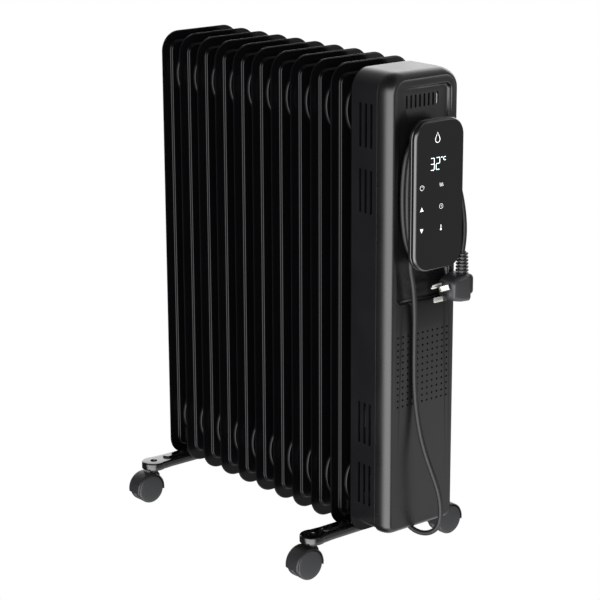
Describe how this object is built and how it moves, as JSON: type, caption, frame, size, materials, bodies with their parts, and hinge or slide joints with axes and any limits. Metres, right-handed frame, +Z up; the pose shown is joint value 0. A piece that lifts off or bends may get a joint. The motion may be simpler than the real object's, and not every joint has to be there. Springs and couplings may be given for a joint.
{
  "type": "oil filled radiator heater",
  "caption": "Oil filled radiator heater: upright pressed fins on swivel casters, control box with vents, touch pod, wound mains cord and flat-pin plug.",
  "frame": {"origin": "on the floor, under the middle of the bounding box of everything but the mains cord", "axes": "+X towards the control box and touch pod, +Y to the right-hand wheels seen from behind the fins, +Z up"},
  "size_m": [0.489, 0.276, 0.626],
  "materials": {
    "black_enamel": "gloss",
    "zinc_steel": "satin",
    "steel_tube": "satin",
    "fibre_red": "matte",
    "abs_black": "satin",
    "abs_front": "satin",
    "pod_gloss": "gloss",
    "touch_glass": "gloss",
    "display_white": "gloss",
    "board_green": "satin",
    "relay_blue": "gloss",
    "terminal_cream": "satin",
    "sensor_black": "satin",
    "lead_red": "matte",
    "caster_hood": "satin",
    "caster_wheel": "satin",
    "cord_rubber": "matte",
    "plug_grey": "satin",
    "nickel_brass": "gloss"
  },
  "bodies": {
    "heater": {"fin_01": "black_enamel", "fin_02": "black_enamel", "fin_03": "black_enamel", "fin_04": "black_enamel", "fin_05": "black_enamel", "fin_06": "black_enamel", "fin_07": "black_enamel", "fin_08": "black_enamel", "fin_09": "black_enamel", "fin_10": "black_enamel", "filler_plug": "zinc_steel", "heating_element": "steel_tube", "element_gasket": "fibre_red", "header_nut": "zinc_steel", "foot_rear": "black_enamel", "foot_front": "black_enamel", "clamp_bolts": "zinc_steel", "wing_nuts": "zinc_steel", "back_plate": "black_enamel", "box_shell": "abs_black", "front_panel": "abs_front", "bottom_cover": "abs_black", "shell_screws": "zinc_steel", "pod_neck": "abs_black", "pod_back": "pod_gloss", "pod_bezel": "pod_gloss", "touch_glass": "touch_glass", "display_module": "display_white", "touch_board": "board_green", "neck_screws": "zinc_steel", "power_board": "board_green", "relays": "relay_blue", "terminal_block": "terminal_cream", "thermal_cutout": "sensor_black", "thermal_fuse": "zinc_steel", "tip_switch": "terminal_cream", "room_sensor": "sensor_black", "wiring": "lead_red", "cord_gland": "cord_rubber", "cord_lower": "cord_rubber", "cord_coil": "cord_rubber", "cord_tail": "cord_rubber", "plug_relief": "plug_grey", "plug_body": "plug_grey", "plug_pins": "nickel_brass"},
    "swivel_front_left": {"caster_front_left": "caster_hood"},
    "wheels_front_left": {"wheels_front_left": "caster_wheel", "axle_front_left": "zinc_steel"},
    "swivel_front_right": {"caster_front_right": "caster_hood"},
    "wheels_front_right": {"wheels_front_right": "caster_wheel", "axle_front_right": "zinc_steel"},
    "swivel_rear_left": {"caster_rear_left": "caster_hood"},
    "wheels_rear_left": {"wheels_rear_left": "caster_wheel", "axle_rear_left": "zinc_steel"},
    "swivel_rear_right": {"caster_rear_right": "caster_hood"},
    "wheels_rear_right": {"wheels_rear_right": "caster_wheel", "axle_rear_right": "zinc_steel"}
  },
  "joints": [
    {"name": "swivel_front_left", "type": "hinge", "parent": "heater", "child": "swivel_front_left", "pos_m": [0.13295, -0.104, 0.0445], "axis": [0, 0, 1], "continuous": true},
    {"name": "spin_front_left", "type": "hinge", "parent": "swivel_front_left", "child": "wheels_front_left", "pos_m": [0.13295, -0.1165, 0.0191], "axis": [1, 0, 0], "continuous": true},
    {"name": "swivel_front_right", "type": "hinge", "parent": "heater", "child": "swivel_front_right", "pos_m": [0.13295, 0.104, 0.0445], "axis": [0, 0, 1], "continuous": true},
    {"name": "spin_front_right", "type": "hinge", "parent": "swivel_front_right", "child": "wheels_front_right", "pos_m": [0.13295, 0.1165, 0.0191], "axis": [1, 0, 0], "continuous": true},
    {"name": "swivel_rear_left", "type": "hinge", "parent": "heater", "child": "swivel_rear_left", "pos_m": [-0.2023, -0.104, 0.0445], "axis": [0, 0, 1], "continuous": true},
    {"name": "spin_rear_left", "type": "hinge", "parent": "swivel_rear_left", "child": "wheels_rear_left", "pos_m": [-0.2023, -0.1165, 0.0191], "axis": [1, 0, 0], "continuous": true},
    {"name": "swivel_rear_right", "type": "hinge", "parent": "heater", "child": "swivel_rear_right", "pos_m": [-0.2023, 0.104, 0.0445], "axis": [0, 0, 1], "continuous": true},
    {"name": "spin_rear_right", "type": "hinge", "parent": "swivel_rear_right", "child": "wheels_rear_right", "pos_m": [-0.2023, 0.1165, 0.0191], "axis": [1, 0, 0], "continuous": true}
  ]
}
